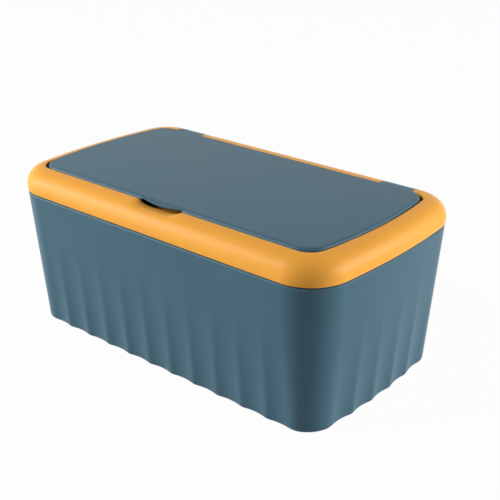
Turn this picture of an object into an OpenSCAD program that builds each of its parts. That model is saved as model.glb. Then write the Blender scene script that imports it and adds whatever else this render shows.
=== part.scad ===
// Countertop wipes dispenser: a drafted tub whose walls run into shallow flutes near the
// bottom, a rounded cover that lifts off, and a flip lid on two rear hinges.
// Millimetres. X runs along the long side, -Y is the front, Z is up.
// The origin is on the surface that it stands on, under the middle of the tub.

/* [Plan] */
// Length over the cover's bead, left to right
length = 220; // [195:1:245]
// Depth over the cover's bead, front to back
depth = 125; // [112:1:140]
// Corner radius of the cover's bead, seen from above
corner_r = 23; // [21:0.5:26]
// Outward bow of each short end, over its flat width
end_bow = 2.3; // [1.5:0.05:4]

/* [Tub] */
// Height of the tub's shoulder, where the cover's seam starts
shoulder_z = 80.6; // [72:0.1:92]
// How far the tub's shoulder stays inside the bead
tub_inset = 0.35; // [0.2:0.05:0.8]
// How far each short end leans in from the shoulder to the bottom
end_lean = 5.4; // [4:0.1:7]
// How far each long side leans in from the shoulder to the bottom
side_lean = 6.4; // [5:0.1:7.5]
// Corner radius at the bottom of the tub
base_corner_r = 17; // [15:0.5:19]
// Wall thickness
wall = 2.4; // [1.8:0.1:2.8]
// Floor thickness
floor_t = 2.9; // [2.4:0.1:3.5]
// Rounding between wall and underside
base_round = 2; // [1.5:0.1:3]
// Rounding between wall and floor, inside
inner_round = 4; // [3:0.5:5]
// Rounding of the shoulder's outer edge
rim_round = 1.2; // [0.6:0.1:1.3]
// Thickness of the upstand that enters the cover
upstand_t = 1.4; // [1.2:0.1:1.8]
// Height of the upstand above the shoulder
upstand_h = 4.4; // [4.2:0.1:4.6]

/* [Flutes] */
// Plain stretch between each long side's flutes and the ends of the bead
long_plain = 20; // [19:0.5:24]
// Plain stretch between each short end's flutes and the sides of the bead
end_plain = 21.6; // [20:0.2:24]
// Depth of a flute at the bottom
flute_depth = 1.8; // [1:0.1:2.2]
// Height at which the flutes have run out
flute_top = 55; // [40:1:65]
// Half-width of the rounding on each ridge
ridge_half = 1.5; // [1:0.1:2]
// Flutes on each long side
long_flutes = 11; // [9:2:11]
// Flutes on each short end
end_flutes = 5; // [3:2:5]

/* [Cover] */
// Open seam between shoulder and cover
seam = 0.6; // [0.4:0.1:1]
// How far the cover's lower edge stays inside the bead
bead_lean = 0.3; // [0.1:0.05:0.6]
// Height of the bead's widest line above the cover's lower edge
bead_rise = 2.3; // [1.8:0.1:2.8]
// Height of the bead's elliptical rounding, from its widest line to its crest
bead_h = 10.4; // [9.8:0.1:11]
// Flat rim between the rounding and the lid's recess
crest_land = 1; // [0.6:0.1:1.4]
// Thickness of the cover's outer skin
skin = 1.8; // [1.6:0.1:2]
// Thickness of the deck under the lid
deck_t = 2; // [1.6:0.1:2.6]
// Depth of the deck below the bead's crest
deck_drop = 5.6; // [5.3:0.1:5.9]
// Depth of the ledge that the lid's edge closes onto
ledge_drop = 3; // [3:0.1:3.3]
// Width of that ledge
ledge_w = 2.6; // [2:0.1:3.5]
// Corner radius of the lid's recess
recess_corner_r = 10; // [8:0.5:12]

/* [Lid] */
// Bead width in front of the lid
front_margin = 12; // [11:0.1:13.5]
// Bead width behind the lid
back_margin = 15; // [14.4:0.1:16]
// Bead width beside the lid
side_margin = 11.25; // [11:0.05:13]
// Corner radius of the lid
lid_corner_r = 12; // [10:0.2:14]
// Outward bow of the lid's short ends
lid_bow = 3.2; // [2:0.1:4]
// Open gap between lid and recess
lid_gap = 0.5; // [0.4:0.05:0.7]
// More room behind the lid, for its swing
swing_gap = 0.6; // [0.5:0.1:1]
// Height of the lid's edge
lid_h = 4; // [3.6:0.1:4.4]
// Rounding of the lid's top edge
lid_round = 2; // [1:0.1:2.4]
// Thickness of the lid's top
lid_top_t = 2.2; // [1.6:0.1:2.4]
// Thickness of the lid's edge wall
lid_wall = 1.8; // [1.4:0.1:2.4]

/* [Finger lip] */
// Width of the lid's finger lip
lip_w = 28.5; // [24:0.5:32]
// How far the lip stands out in front of the lid
lip_out = 1.5; // [1.2:0.1:1.8]
// How far the lip's slope drops below the lid's top
lip_drop = 1.6; // [1.2:0.1:2]
// Room between the lip and its notch in the bead
notch_gap = 1.3; // [1.2:0.1:1.6]
// Depth of the shallow scoop in the bead
scoop_depth = 1.2; // [0.8:0.1:1.6]
// Radius of the shallow scoop, seen from the front
scoop_r = 100; // [80:5:120]

/* [Hinges] */
// Distance of each hinge's middle from the end of the bead
hinge_in = 35; // [33:0.5:45]
// Width of each hinge tab
tab_w = 20; // [16:0.5:22]
// Radius of the hinge pins
pin_r = 1; // [0.9:0.05:1.1]
// Radius of the barrel round each pin
barrel_r = 2; // [2:0.1:2.2]
// Place of the barrel on the bead's rounding: 0 is the widest line, 90 the crest
barrel_angle = 55; // [52:1:58]
// Depth of the cheeks beside each tab
cheek_t = 5; // [4:0.5:6]
// Clearance at the ends of each tab
tab_gap = 0.3; // [0.25:0.05:0.5]

/* [Outlet] */
// Length of the deck's opening
outlet_l = 122; // [100:1:140]
// Width of the deck's opening
outlet_w = 44; // [34:1:52]
// Length of the slot that the wipes are pulled through
slot_l = 92; // [70:1:98]
// Width of that slot
slot_w = 9; // [6:0.5:14]
// Radius of the slot's round ends
slot_end_r = 8; // [7.5:0.5:10]
// Thickness of the soft outlet
outlet_t = 1.2; // [0.8:0.1:1.6]
// How far the outlet's flanges reach over the deck
flange = 2.6; // [2:0.1:3.5]
// Height of the collar round the outlet
collar_h = 1.9; // [1.4:0.1:2.1]
// Thickness of the collar
collar_t = 1.6; // [1.2:0.1:2]
// Space between the outlet's flange and the collar
collar_gap = 4; // [3:0.5:6]

/* [Lift tray] */
// Thickness of the tray
tray_t = 1.8; // [1.4:0.1:2.4]
// Height of the tray's rim
tray_rim_h = 6; // [4:0.5:8]
// Clearance between the tray and the tub at the tray's lowest place
tray_gap = 0.8; // [0.6:0.1:1.5]
// Distance that the tray can be pressed down
tray_travel = 20; // [12:1:22]
// Width of one drain slot
drain_w = 5; // [4.5:0.5:6]
// Space between the drain slots, and beside the spring cups
drain_web = 5; // [4:0.5:8]
// Distance of the drain slots from the middle, across the tray
drain_y = 15; // [12:1:16]

/* [Springs] */
// Free length of each spring
spring_l = 34; // [30:1:40]
// Mean radius of the coils
coil_r = 9; // [8:0.5:10]
// Wire diameter
wire_d = 0.8; // [0.7:0.1:1.2]
// Curls in each spring, with the closed one at each end
curls = 7; // [6:1:8]
// Distance of the springs from the ends of the bead
spring_in_x = 48; // [42:1:54]
// Distance of the springs from the sides of the bead
spring_in_y = 36.5; // [33:0.5:40]
// Height of the studs that hold the spring ends
stud_h = 4; // [3:0.5:5]

/* [Feet and seals] */
// Radius of each rubber foot
foot_r = 6; // [5:0.5:7]
// Height of each rubber foot
foot_h = 2; // [1.8:0.1:2.4]
// How far the feet stand out of the tub
foot_out = 0.5; // [0.4:0.1:0.8]
// Bevel of each foot's lower edge
foot_bevel = 0.3; // [0.2:0.1:0.4]
// Distance of the feet from the ends of the bead
foot_in_x = 30; // [26:1:40]
// Distance of the feet from the sides of the bead
foot_in_y = 28.5; // [25:0.5:34]
// Width of the lid's seal
lid_seal_w = 3; // [2.4:0.1:3.6]
// Width of the cover's seal
cover_seal_w = 2.6; // [2.2:0.1:3]
// Height of the cover's seal
cover_seal_h = 1.4; // [1:0.1:1.6]

/* [Hidden] */

navy = [0.33, 0.44, 0.50];
amber = [0.97, 0.71, 0.35];
soft_white = [0.86, 0.87, 0.86];
steel = [0.72, 0.73, 0.75];
rubber_black = [0.12, 0.13, 0.14];

// Clearances between pieces
seat_gap = 0.1;
slip_gap = 0.3;
run_gap = 0.06;
press_gap = 0.02;
// Overlap of pieces that are one solid, and overrun of cuts
eps = 0.5;
// Thickness of small ribs and spring cups
rib_t = 1.2;
// Fineness of true arcs: short ones and the long bowed ends
fine = 96;
bow_fine = 1440;

// ---- Heights
base_z = foot_out;
floor_z = base_z + floor_t;
cover_z = shoulder_z + seam;
bead_z = cover_z + bead_rise;
crest_z = bead_z + bead_h;
deck_z = crest_z - deck_drop;
deck_under = deck_z - deck_t;
ledge_z = crest_z - ledge_drop;
lid_z = ledge_z + seat_gap;
lid_top = lid_z + lid_h;
lid_under = lid_top - lid_top_t;
upstand_z = shoulder_z + upstand_h;

// ---- Plans: [half length, half depth, corner radius, radius of the bowed ends]
// Radius of an arc from its half-width and its rise
function arc_r(half, rise) = (half * half + rise * rise) / (2 * rise);
// Share of each corner's radius that the bow's width leaves out
bow_end = 0.8;
function bow_radius(half_d, r, bow) = arc_r(half_d - bow_end * r, bow);
function plan(half_l, half_d, r, bow) = [half_l, half_d, r, bow_radius(half_d, r, bow)];
// A plan moved outward by d all round, so that its arcs keep their centres
function grow(p, d) = [for (v = p) v + d];
// Centre of the right-hand bow
function bow_x(p) = p[0] - p[3];
// Centre of the rear right-hand corner
function corner_y(p) = p[1] - p[2];
function corner_x(p) = bow_x(p) + sqrt(pow(p[3] - p[2], 2) - pow(corner_y(p), 2));
// Half the angle that the bow spans
function bow_angle(p) = asin(corner_y(p) / (p[3] - p[2]));

bead_plan = plan(length / 2, depth / 2, corner_r, end_bow);
lid_y = (front_margin - back_margin) / 2;
lid_half_l = length / 2 - side_margin;
lid_half_d = (depth - front_margin - back_margin) / 2;
lid_front = lid_y - lid_half_d;
lid_plan = plan(lid_half_l, lid_half_d, lid_corner_r, lid_bow);
recess_plan = plan(lid_half_l + lid_gap, lid_half_d + lid_gap + swing_gap / 2, recess_corner_r, lid_bow);
recess_y = lid_y + swing_gap / 2;
recess_rear = recess_y + recess_plan[1];
crest_plan = grow(recess_plan, crest_land);

// The outer face of a plan as a flat shape
module plan_face(p) {
    square([2 * corner_x(p), 2 * p[1]], center = true);
    for (side = [0, 1]) mirror([side, 0]) {
        for (end = [-1, 1]) translate([corner_x(p), end * corner_y(p)]) circle(p[2], $fn = fine);
        intersection() {
            translate([bow_x(p), 0]) circle(p[3], $fn = bow_fine);
            bow_wedge(p);
        }
    }
}

// The wedge between the bow's two ends, from the plan's middle outward
module bow_wedge(p) {
    reach = p[3] / cos(bow_angle(p)) + eps;
    a = bow_angle(p);
    polygon([[0, bow_x(p) * tan(a)], [bow_x(p) + reach * cos(a), -reach * sin(a)],
        [bow_x(p) + reach * cos(a), reach * sin(a)], [0, -bow_x(p) * tan(a)]]);
}

// A closed ring of one width, between two plans
module plan_ring(p, inner, height) {
    linear_extrude(height) difference() {
        plan_face(p);
        plan_face(inner);
    }
}

// A flat shape with round ends, along X
module stadium(l, w) {
    square([l - w, w], center = true);
    for (end = [-1, 1]) translate([end * (l - w) / 2, 0]) circle(w / 2, $fn = fine);
}

module stadium_ring(l, w, t, height) {
    linear_extrude(height) difference() {
        stadium(l + 2 * t, w + 2 * t);
        stadium(l, w);
    }
}

// ---- Skins: a list of rings, each with the same count of points
// A whole ring at one height, clockwise from the middle of the rear, from its first quarter,
// with its middle at y
function ring(q, z, y = 0) = let (n = len(q)) concat(
    [for (i = [0:n - 1]) [q[i][0], y + q[i][1], z]],
    [for (i = [n - 2:-1:0]) [q[i][0], y - q[i][1], z]],
    [for (i = [1:n - 1]) [-q[i][0], y - q[i][1], z]],
    [for (i = [n - 2:-1:1]) [-q[i][0], y + q[i][1], z]]);

// Closes a list of rings into one solid, with a fan at each end
module skin_of(rings) {
    n = len(rings[0]);
    m = len(rings);
    first = [0, 0, rings[0][0][2]];
    last = [0, 0, rings[m - 1][0][2]];
    points = concat([for (r = rings) each r], [first, last]);
    faces = concat(
        [for (j = [0:m - 2], i = [0:n - 1]) let (k = (i + 1) % n) [j * n + i, j * n + k, (j + 1) * n + i]],
        [for (j = [0:m - 2], i = [0:n - 1]) let (k = (i + 1) % n)
            [j * n + k, (j + 1) * n + k, (j + 1) * n + i]],
        [for (i = [0:n - 1]) [n * m, (i + 1) % n, i]],
        [for (i = [0:n - 1]) [n * m + 1, (m - 1) * n + i, (m - 1) * n + (i + 1) % n]]);
    polyhedron(points, faces);
}

// The first quarter of a plain plan
corner_steps = 10;
bow_steps = 3;
function plain_quarter(p) = let (a = bow_angle(p)) concat(
    [[0, p[1]]],
    [for (k = [0:corner_steps]) let (b = 90 - (90 - a) * k / corner_steps)
        [corner_x(p) + p[2] * cos(b), corner_y(p) + p[2] * sin(b)]],
    [for (k = [1:bow_steps]) let (b = a * (1 - k / bow_steps)) [bow_x(p) + p[3] * cos(b), p[3] * sin(b)]]);

// A block from a foot plan at z up to its widest plan, then rounded over through the height h to a
// crest plan with its middle at y
round_angles = [0:11.25:90];
module rounded_block(foot, z, widest, crest, y, top, h) {
    skin_of(concat([ring(plain_quarter(foot), z)], [for (a = round_angles)
        ring(plain_quarter(crest + (widest - crest) * cos(a)), top - h + h * sin(a), y * (1 - cos(a)))]));
}

// ---- Tub
tub_h = shoulder_z - base_z;
function down(z) = (shoulder_z - z) / tub_h;
function flute_at(z) = flute_depth * max(0, (flute_top - z) / (flute_top - base_z));
function wall_plan(z, inward) = plan(length / 2 - tub_inset - end_lean * down(z) - inward,
    depth / 2 - tub_inset - side_lean * down(z) - inward,
    corner_r - tub_inset - (corner_r - tub_inset - base_corner_r) * down(z) - inward, end_bow);

// Depth of a flute, from 0 to 1, at w flute widths from the nearest ridge, where ridge is the
// half-width of that ridge's rounding in flute widths
function scallop(w, ridge) = w >= ridge ? 4 * w * (1 - w)
    : 2 * ridge + 2 * (1 - 2 * ridge) * w * w / ridge;

// Places along a half side, from its middle to its last ridge: [distance, flute depth]. Each
// half flute has points at its ridge, beside it, in its flank and in its middle.
flank = 0.27;
function half_side(count, width) = let (ridge = ridge_half / width, steps = [0, ridge, flank, 0.5])
    [for (i = [0:count - 1]) each
        [for (k = [0:len(steps) - 2]) let (w = i % 2 == 0 ? steps[len(steps) - 1 - k] : steps[k])
            [(i / 2 + (i % 2 == 0 ? 0.5 - w : w)) * width, scallop(w, ridge)]],
        [count / 2 * width, ridge]];
long_places = half_side(long_flutes, (length - 2 * long_plain) / long_flutes);
end_places = half_side(end_flutes, (depth - 2 * end_plain) / end_flutes);

// Where a plan's long side lies at x, and its end at y, corners included
function side_y(p, x) = x <= corner_x(p) ? p[1]
    : corner_y(p) + sqrt(max(0, pow(p[2], 2) - pow(x - corner_x(p), 2)));
function end_x(p, y) = y <= p[3] * sin(bow_angle(p)) ? bow_x(p) + sqrt(pow(p[3], 2) - y * y)
    : corner_x(p) + sqrt(max(0, pow(p[2], 2) - pow(y - corner_y(p), 2)));

// Points between the last ridge of a long side and that of an end
function corner_points(p) = let (
        x = long_places[len(long_places) - 1][0],
        y = end_places[len(end_places) - 1][0],
        from = x > corner_x(p) ? acos((x - corner_x(p)) / p[2]) : 90,
        to = y > corner_y(p) ? asin((y - corner_y(p)) / p[2]) : bow_angle(p))
    [for (k = [1:corner_steps - 1]) let (a = from + (to - from) * k / corner_steps)
        [corner_x(p) + p[2] * cos(a), corner_y(p) + p[2] * sin(a)]];

function fluted_quarter(p, d) = concat(
    [for (s = long_places) [s[0], side_y(p, s[0]) - d * s[1]]],
    corner_points(p),
    [for (k = [len(end_places) - 1:-1:0]) let (s = end_places[k]) [end_x(p, s[0]) - d * s[1], s[0]]]);

// Rings of a rounding that turns from level to upright, at a height, with an inset
round_steps = [0, 30, 60, 90];
function outer_round(z, r) = [for (a = round_steps)
    ring(fluted_quarter(wall_plan(z + r - r * cos(a), r - r * sin(a)), flute_at(z)), z + r - r * cos(a))];
upstand_out = skin + slip_gap;
function upstand_ring(inset, z) = ring(fluted_quarter(grow(bead_plan, -inset), 0), z);

function rim_z(a) = shoulder_z - rim_round + rim_round * sin(a);

tub_rings = concat(
    outer_round(base_z, base_round),
    [ring(fluted_quarter(wall_plan(flute_top, 0), 0), flute_top)],
    [for (a = [0, 45, 90])
        ring(fluted_quarter(wall_plan(rim_z(a), rim_round - rim_round * cos(a)), 0), rim_z(a))],
    [upstand_ring(upstand_out, shoulder_z), upstand_ring(upstand_out, upstand_z),
        upstand_ring(upstand_out + upstand_t, upstand_z)],
    [ring(fluted_quarter(wall_plan(flute_top, wall), 0), flute_top)],
    [for (a = [90, 45, 0]) let (z = floor_z + inner_round - inner_round * cos(a))
        ring(fluted_quarter(wall_plan(z, wall + inner_round - inner_round * sin(a)), flute_at(floor_z)), z)]);

foot_x = length / 2 - foot_in_x;
foot_y = depth / 2 - foot_in_y;
spring_x = length / 2 - spring_in_x;
spring_y = depth / 2 - spring_in_y;

// Runs its children once for each foot, or for each spring
module at_corners(x, y) {
    for (sx = [-1, 1], sy = [-1, 1]) translate([sx * x, sy * y, 0]) children();
}

module tub() {
    color(navy) difference() {
        union() {
            skin_of(tub_rings);
            at_corners(spring_x, spring_y) translate([0, 0, floor_z - eps])
                cylinder(h = stud_h + eps, r = stud_r, $fn = fine);
        }
        at_corners(foot_x, foot_y) translate([0, 0, base_z - eps])
            cylinder(h = foot_h - foot_out + eps, r = foot_r + seat_gap, $fn = fine);
    }
}

module foot(sx, sy) {
    color(rubber_black) translate([sx * foot_x, sy * foot_y, 0])
        rotate_extrude($fn = fine) difference() {
            square([foot_r, foot_h - seat_gap / 2]);
            translate([foot_r, 0]) rotate(45) square(sqrt(2) * foot_bevel, center = true);
        }
}

// ---- Springs: one unbroken wire, closed at each end by a curl of fine pitch
rings_per_curl = 8;
wire_sides = 6;
// The studs stay inside the coil between its rings
stud_r = (coil_r - wire_d / 2) * cos(180 / rings_per_curl) - slip_gap;
end_gap = 0.5;
end_pitch = wire_d + end_gap;
spring_rise = spring_l - wire_d;
open_pitch = (spring_rise - 2 * end_pitch) / (curls - 2);
function spring_z(t) = t < 1 ? end_pitch * t
    : t < curls - 1 ? end_pitch + open_pitch * (t - 1)
    : spring_rise - end_pitch * (curls - t);
spring_places = [for (i = [0:curls * rings_per_curl]) i / rings_per_curl];
spring_line = [for (t = spring_places)
    [coil_r * cos(360 * t), coil_r * sin(360 * t), wire_d / 2 + spring_z(t)]];
spring_gap = min([for (i = [0:len(spring_line) - 1], j = [0:len(spring_line) - 1])
    if (j - i >= rings_per_curl / 2) norm(spring_line[i] - spring_line[j]) - wire_d]);
echo(least_gap_between_curls = spring_gap);

module spring_coil() {
    n = wire_sides;
    m = len(spring_line);
    points = [for (i = [0:m - 1], s = [0:n - 1]) let (a = 360 * spring_places[i], b = 360 * s / n)
        [(coil_r + wire_d / 2 * cos(b)) * cos(a), (coil_r + wire_d / 2 * cos(b)) * sin(a),
            spring_line[i][2] + wire_d / 2 * sin(b)]];
    sides = [for (i = [0:m - 2], s = [0:n - 1]) let (q = (s + 1) % n)
        each [[i * n + s, i * n + q, (i + 1) * n + s], [i * n + q, (i + 1) * n + q, (i + 1) * n + s]]];
    caps = [[for (s = [n - 1:-1:0]) s], [for (s = [0:n - 1]) (m - 1) * n + s]];
    polyhedron(points, concat(sides, caps));
}

spring_z0 = floor_z + seat_gap;

module spring(sx, sy) {
    color(steel) translate([sx * spring_x, sy * spring_y, spring_z0]) spring_coil();
}

// ---- Lift tray
tray_z = spring_z0 + spring_l + seat_gap;
tray_low_z = tray_z - tray_travel;
tray_plan = wall_plan(tray_low_z - stud_h, wall + flute_at(tray_low_z - stud_h) + tray_gap);
cup_r = coil_r + wire_d / 2 + slip_gap + rib_t;
// Three drain slots in a row between the cups
drain_l = (2 * (spring_x - cup_r) - 4 * drain_web) / 3;

module lift_tray() {
    color(soft_white) difference() {
        union() {
            translate([0, 0, tray_z]) linear_extrude(tray_t) plan_face(tray_plan);
            translate([0, 0, tray_z]) plan_ring(tray_plan, grow(tray_plan, -tray_t), tray_rim_h);
            at_corners(spring_x, spring_y) translate([0, 0, tray_z - stud_h]) {
                cylinder(h = stud_h + eps, r = stud_r, $fn = fine);
                difference() {
                    cylinder(h = stud_h + eps, r = cup_r, $fn = fine);
                    translate([0, 0, -eps]) cylinder(h = stud_h + eps, r = cup_r - rib_t, $fn = fine);
                }
            }
        }
        for (sx = [-1, 0, 1], sy = [-1, 1])
            translate([sx * (drain_l + drain_web), sy * drain_y, tray_z - eps])
                linear_extrude(tray_t + 2 * eps) stadium(drain_l, drain_w);
    }
}

// ---- Cover
seal_in = skin + seat_gap;
channel_in = seal_in + cover_seal_w + seat_gap;
channel_z = upstand_z + seat_gap + cover_seal_h + seat_gap;
// The bead's hollow ends beside the recess, and two skins below the crest
cavity_in = side_margin - lid_gap - skin;
cavity_z = crest_z - 2 * skin;

// The hollow under the deck, and the channel that holds the seal at its edge
module deck_hollow() {
    translate([0, 0, cover_z - eps]) linear_extrude(deck_under - cover_z + eps)
        plan_face(grow(bead_plan, -skin));
    translate([0, 0, deck_under - eps])
        plan_ring(grow(bead_plan, -skin), grow(bead_plan, -channel_in), channel_z - deck_under + eps);
}

// The hollow inside the bead, between the channel's rib and the recess
module bead_hollow() {
    translate([0, 0, deck_under - eps]) plan_ring(grow(bead_plan, -channel_in - rib_t),
        grow(bead_plan, -cavity_in), cavity_z - deck_under + eps);
}

// The rib that holds the seal in its channel
module seal_rib() {
    translate([0, 0, upstand_z + seat_gap]) plan_ring(grow(bead_plan, -channel_in),
        grow(bead_plan, -channel_in - rib_t), deck_z - upstand_z - seat_gap);
}

hinge_x = length / 2 - hinge_in;
crest_rear = recess_y + crest_plan[1];
rear_w = depth / 2 - crest_rear;
// A place on the bead's rounding at the rear, in y and z, and the hinge axis just inside it
function rear_place(a) = [crest_rear + rear_w * cos(a), bead_z + bead_h * sin(a)];
touch = rear_place(barrel_angle);
touch_dir = [cos(barrel_angle) / rear_w, sin(barrel_angle) / bead_h];
hinge_y = touch[0] - barrel_r * touch_dir[0] / norm(touch_dir);
hinge_z = touch[1] - barrel_r * touch_dir[1] / norm(touch_dir);
echo(hinge_axis = [hinge_y, hinge_z]);
slot_half = tab_w / 2 + tab_gap;
hinge_slot_z = hinge_z - barrel_r - slip_gap;
block_half = slot_half + cheek_t;
lip_half = lip_w / 2;
notch_out = lip_out + notch_gap;
notch_half = lip_half + notch_gap + slip_gap;

// Solid backing that stays in the hollow at the hinges and behind the scoop
module backing() {
    for (side = [-1, 1]) translate([side * hinge_x - block_half, 0, deck_under])
        cube([2 * block_half, depth, crest_z]);
    translate([-notch_half - skin, -depth, deck_under]) cube([2 * (notch_half + skin), depth, crest_z]);
}

module hinge_slots() {
    for (side = [-1, 1])
        translate([side * hinge_x - slot_half, recess_rear - ledge_w, hinge_slot_z])
            cube([2 * slot_half, depth, crest_z]);
}

// Bores for the pins, open towards the middle and blind at the outer end
module pin_bores() {
    for (side = [0, 1]) mirror([side, 0, 0])
        translate([hinge_x - block_half - eps, hinge_y, hinge_z]) rotate([0, 90, 0])
            cylinder(h = 2 * block_half + eps - rib_t, r = pin_r + press_gap, $fn = fine);
}

module finger_notch() {
    r = arc_r(notch_half, notch_out);
    translate([0, 0, deck_z]) linear_extrude(crest_z) intersection() {
        translate([0, lid_front - notch_out + r]) circle(r, $fn = bow_fine);
        translate([-notch_half, lid_front - notch_out - eps])
            square([2 * notch_half, notch_out + eps + ledge_w]);
    }
    translate([0, lid_y, crest_z + scoop_r - scoop_depth]) rotate([90, 0, 0])
        cylinder(h = depth, r = scoop_r, $fn = bow_fine);
}

module cover() {
    color(amber) difference() {
        rounded_block(grow(bead_plan, -bead_lean), cover_z, bead_plan, crest_plan, recess_y,
            crest_z, bead_h);
        difference() {
            deck_hollow();
            seal_rib();
        }
        difference() {
            bead_hollow();
            backing();
        }
        difference() {
            translate([0, recess_y, deck_z]) linear_extrude(crest_z) plan_face(grow(recess_plan, -ledge_w));
            translate([0, 0, deck_z - eps]) stadium_ring(outlet_l + 2 * (flange + collar_gap),
                outlet_w + 2 * (flange + collar_gap), collar_t, collar_h + eps);
        }
        translate([0, recess_y, ledge_z]) linear_extrude(crest_z) plan_face(recess_plan);
        translate([0, 0, deck_under - eps]) linear_extrude(crest_z) stadium(outlet_l, outlet_w);
        hinge_slots();
        pin_bores();
        finger_notch();
    }
}

module cover_seal() {
    color(soft_white) translate([0, 0, upstand_z + seat_gap])
        plan_ring(grow(bead_plan, -seal_in), grow(bead_plan, -seal_in - cover_seal_w), cover_seal_h);
}

// Soft outlet: a web in the deck's opening, with a flange over it, a lip under it and a slot
module outlet() {
    color(soft_white) difference() {
        union() {
            translate([0, 0, deck_z + seat_gap]) linear_extrude(outlet_t)
                stadium(outlet_l + 2 * flange, outlet_w + 2 * flange);
            translate([0, 0, deck_under - seat_gap - outlet_t])
                linear_extrude(deck_t + 2 * seat_gap + outlet_t + eps)
                stadium(outlet_l - 2 * seat_gap, outlet_w - 2 * seat_gap);
            translate([0, 0, deck_under - seat_gap - outlet_t]) linear_extrude(outlet_t)
                stadium(outlet_l + flange, outlet_w + flange);
        }
        translate([0, 0, deck_under - seat_gap - outlet_t - eps])
            linear_extrude(deck_t + 2 * seat_gap + outlet_t + eps)
            stadium(outlet_l - 2 * flange, outlet_w - 2 * flange);
        translate([0, 0, deck_under]) linear_extrude(crest_z) union() {
            square([slot_l - 2 * slot_end_r, slot_w], center = true);
            for (end = [-1, 1]) translate([end * (slot_l / 2 - slot_end_r), 0])
                circle(slot_end_r, $fn = fine);
        }
    }
}

// ---- Lid
seal_l = outlet_l + 2 * (flange + collar_gap) + collar_t - lid_seal_w;
seal_w = outlet_w + 2 * (flange + collar_gap) + collar_t - lid_seal_w;
// Small ribs under the lid: their height, and the places of the straight ones over half its length
lid_rib_h = 1.2;
lid_rib_places = [0.82, 0.9];

module finger_lip() {
    r = arc_r(lip_half, lip_out);
    intersection() {
        translate([0, lid_front - lip_out + r, lid_z]) cylinder(h = lid_h, r = r, $fn = bow_fine);
        translate([-lip_half, lid_front, 0]) rotate([90, 0, 90]) linear_extrude(lip_w)
            polygon([[-lip_out - eps, lid_z], [lid_wall, lid_z], [lid_round + lid_wall, lid_top],
                [lid_round, lid_top], [-lip_out - eps, lid_top - lip_drop]]);
    }
}

// Tab from the lid's rear edge, flush with the bead, round to the barrel
module hinge_tab() {
    front = lid_y + lid_half_d - lid_wall;
    rotate([90, 0, 90]) translate([0, 0, -tab_w / 2]) linear_extrude(tab_w) difference() {
        union() {
            intersection() {
                polygon(concat([for (a = round_angles) rear_place(a)], [[front, crest_z], [front, bead_z]]));
                translate([front, lid_z]) square([touch[0] - front, crest_z]);
            }
            translate([hinge_y, hinge_z]) circle(barrel_r, $fn = fine);
        }
        translate([hinge_y, hinge_z]) circle(pin_r + run_gap, $fn = fine);
    }
}

module flip_lid() {
    inner = grow(lid_plan, -lid_wall);
    color(navy) {
        difference() {
            translate([0, lid_y, 0]) rounded_block(lid_plan, lid_z, lid_plan, grow(lid_plan, -lid_round), 0,
                lid_top, lid_round);
            difference() {
                translate([0, lid_y, lid_z - eps]) linear_extrude(lid_under - lid_z + eps) plan_face(inner);
                translate([0, 0, lid_under - lid_rib_h]) {
                    stadium_ring(seal_l + 2 * (lid_seal_w + slip_gap), seal_w + 2 * (lid_seal_w + slip_gap),
                        rib_t, crest_z);
                    stadium_ring(seal_l - 2 * (rib_t + slip_gap), seal_w - 2 * (rib_t + slip_gap),
                        rib_t, crest_z);
                }
                for (side = [-1, 1], place = lid_rib_places)
                    translate([side * place * lid_half_l - rib_t / 2, lid_y - lid_half_d,
                        lid_under - lid_rib_h])
                        cube([rib_t, 2 * lid_half_d, crest_z]);
            }
        }
        finger_lip();
        for (side = [-1, 1]) translate([side * hinge_x, 0, 0]) hinge_tab();
    }
}

module lid_seal() {
    z = deck_z + collar_h + seat_gap;
    color(soft_white) translate([0, 0, z]) stadium_ring(seal_l, seal_w, lid_seal_w, lid_under - seat_gap - z);
}

module hinge_pin(side) {
    color(steel) mirror([side < 0 ? 1 : 0, 0, 0])
        translate([hinge_x - block_half, hinge_y, hinge_z]) rotate([0, 90, 0])
            cylinder(h = 2 * block_half - rib_t - slip_gap, r = pin_r, $fn = fine);
}

tub();
foot(-1, -1);  // foot_front_left
foot(1, -1);  // foot_front_right
foot(-1, 1);  // foot_rear_left
foot(1, 1);  // foot_rear_right
lift_tray();
spring(-1, -1);  // spring_front_left
spring(1, -1);  // spring_front_right
spring(-1, 1);  // spring_rear_left
spring(1, 1);  // spring_rear_right
cover();
cover_seal();
outlet();
flip_lid();
lid_seal();
hinge_pin(-1);  // hinge_pin_left
hinge_pin(1);  // hinge_pin_right
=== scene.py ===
"""Looks of the countertop wipes dispenser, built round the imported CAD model.

Every smooth moulded piece is lofted from the same plans and heights as the CAD solids, in
millimetres, and scaled to metres when its mesh is made. Only the depth of the flutes, the finger
notch and the finger lip differ a little from the solids.
"""
import math

import bpy
import numpy as np
from mathutils import Matrix, Vector


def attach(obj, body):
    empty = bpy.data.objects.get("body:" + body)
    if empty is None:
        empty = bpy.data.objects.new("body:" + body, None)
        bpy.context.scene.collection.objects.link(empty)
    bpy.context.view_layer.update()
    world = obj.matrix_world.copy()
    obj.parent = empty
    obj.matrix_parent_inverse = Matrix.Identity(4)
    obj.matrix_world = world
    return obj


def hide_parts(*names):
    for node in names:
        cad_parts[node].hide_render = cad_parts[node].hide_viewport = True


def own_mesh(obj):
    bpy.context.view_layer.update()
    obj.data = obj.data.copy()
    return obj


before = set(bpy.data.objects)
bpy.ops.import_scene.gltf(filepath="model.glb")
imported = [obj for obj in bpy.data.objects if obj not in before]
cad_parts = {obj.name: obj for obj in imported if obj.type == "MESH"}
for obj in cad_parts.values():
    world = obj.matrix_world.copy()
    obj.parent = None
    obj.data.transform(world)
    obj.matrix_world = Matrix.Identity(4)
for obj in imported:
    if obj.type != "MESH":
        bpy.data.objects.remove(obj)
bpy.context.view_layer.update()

MM = 0.001

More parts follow.
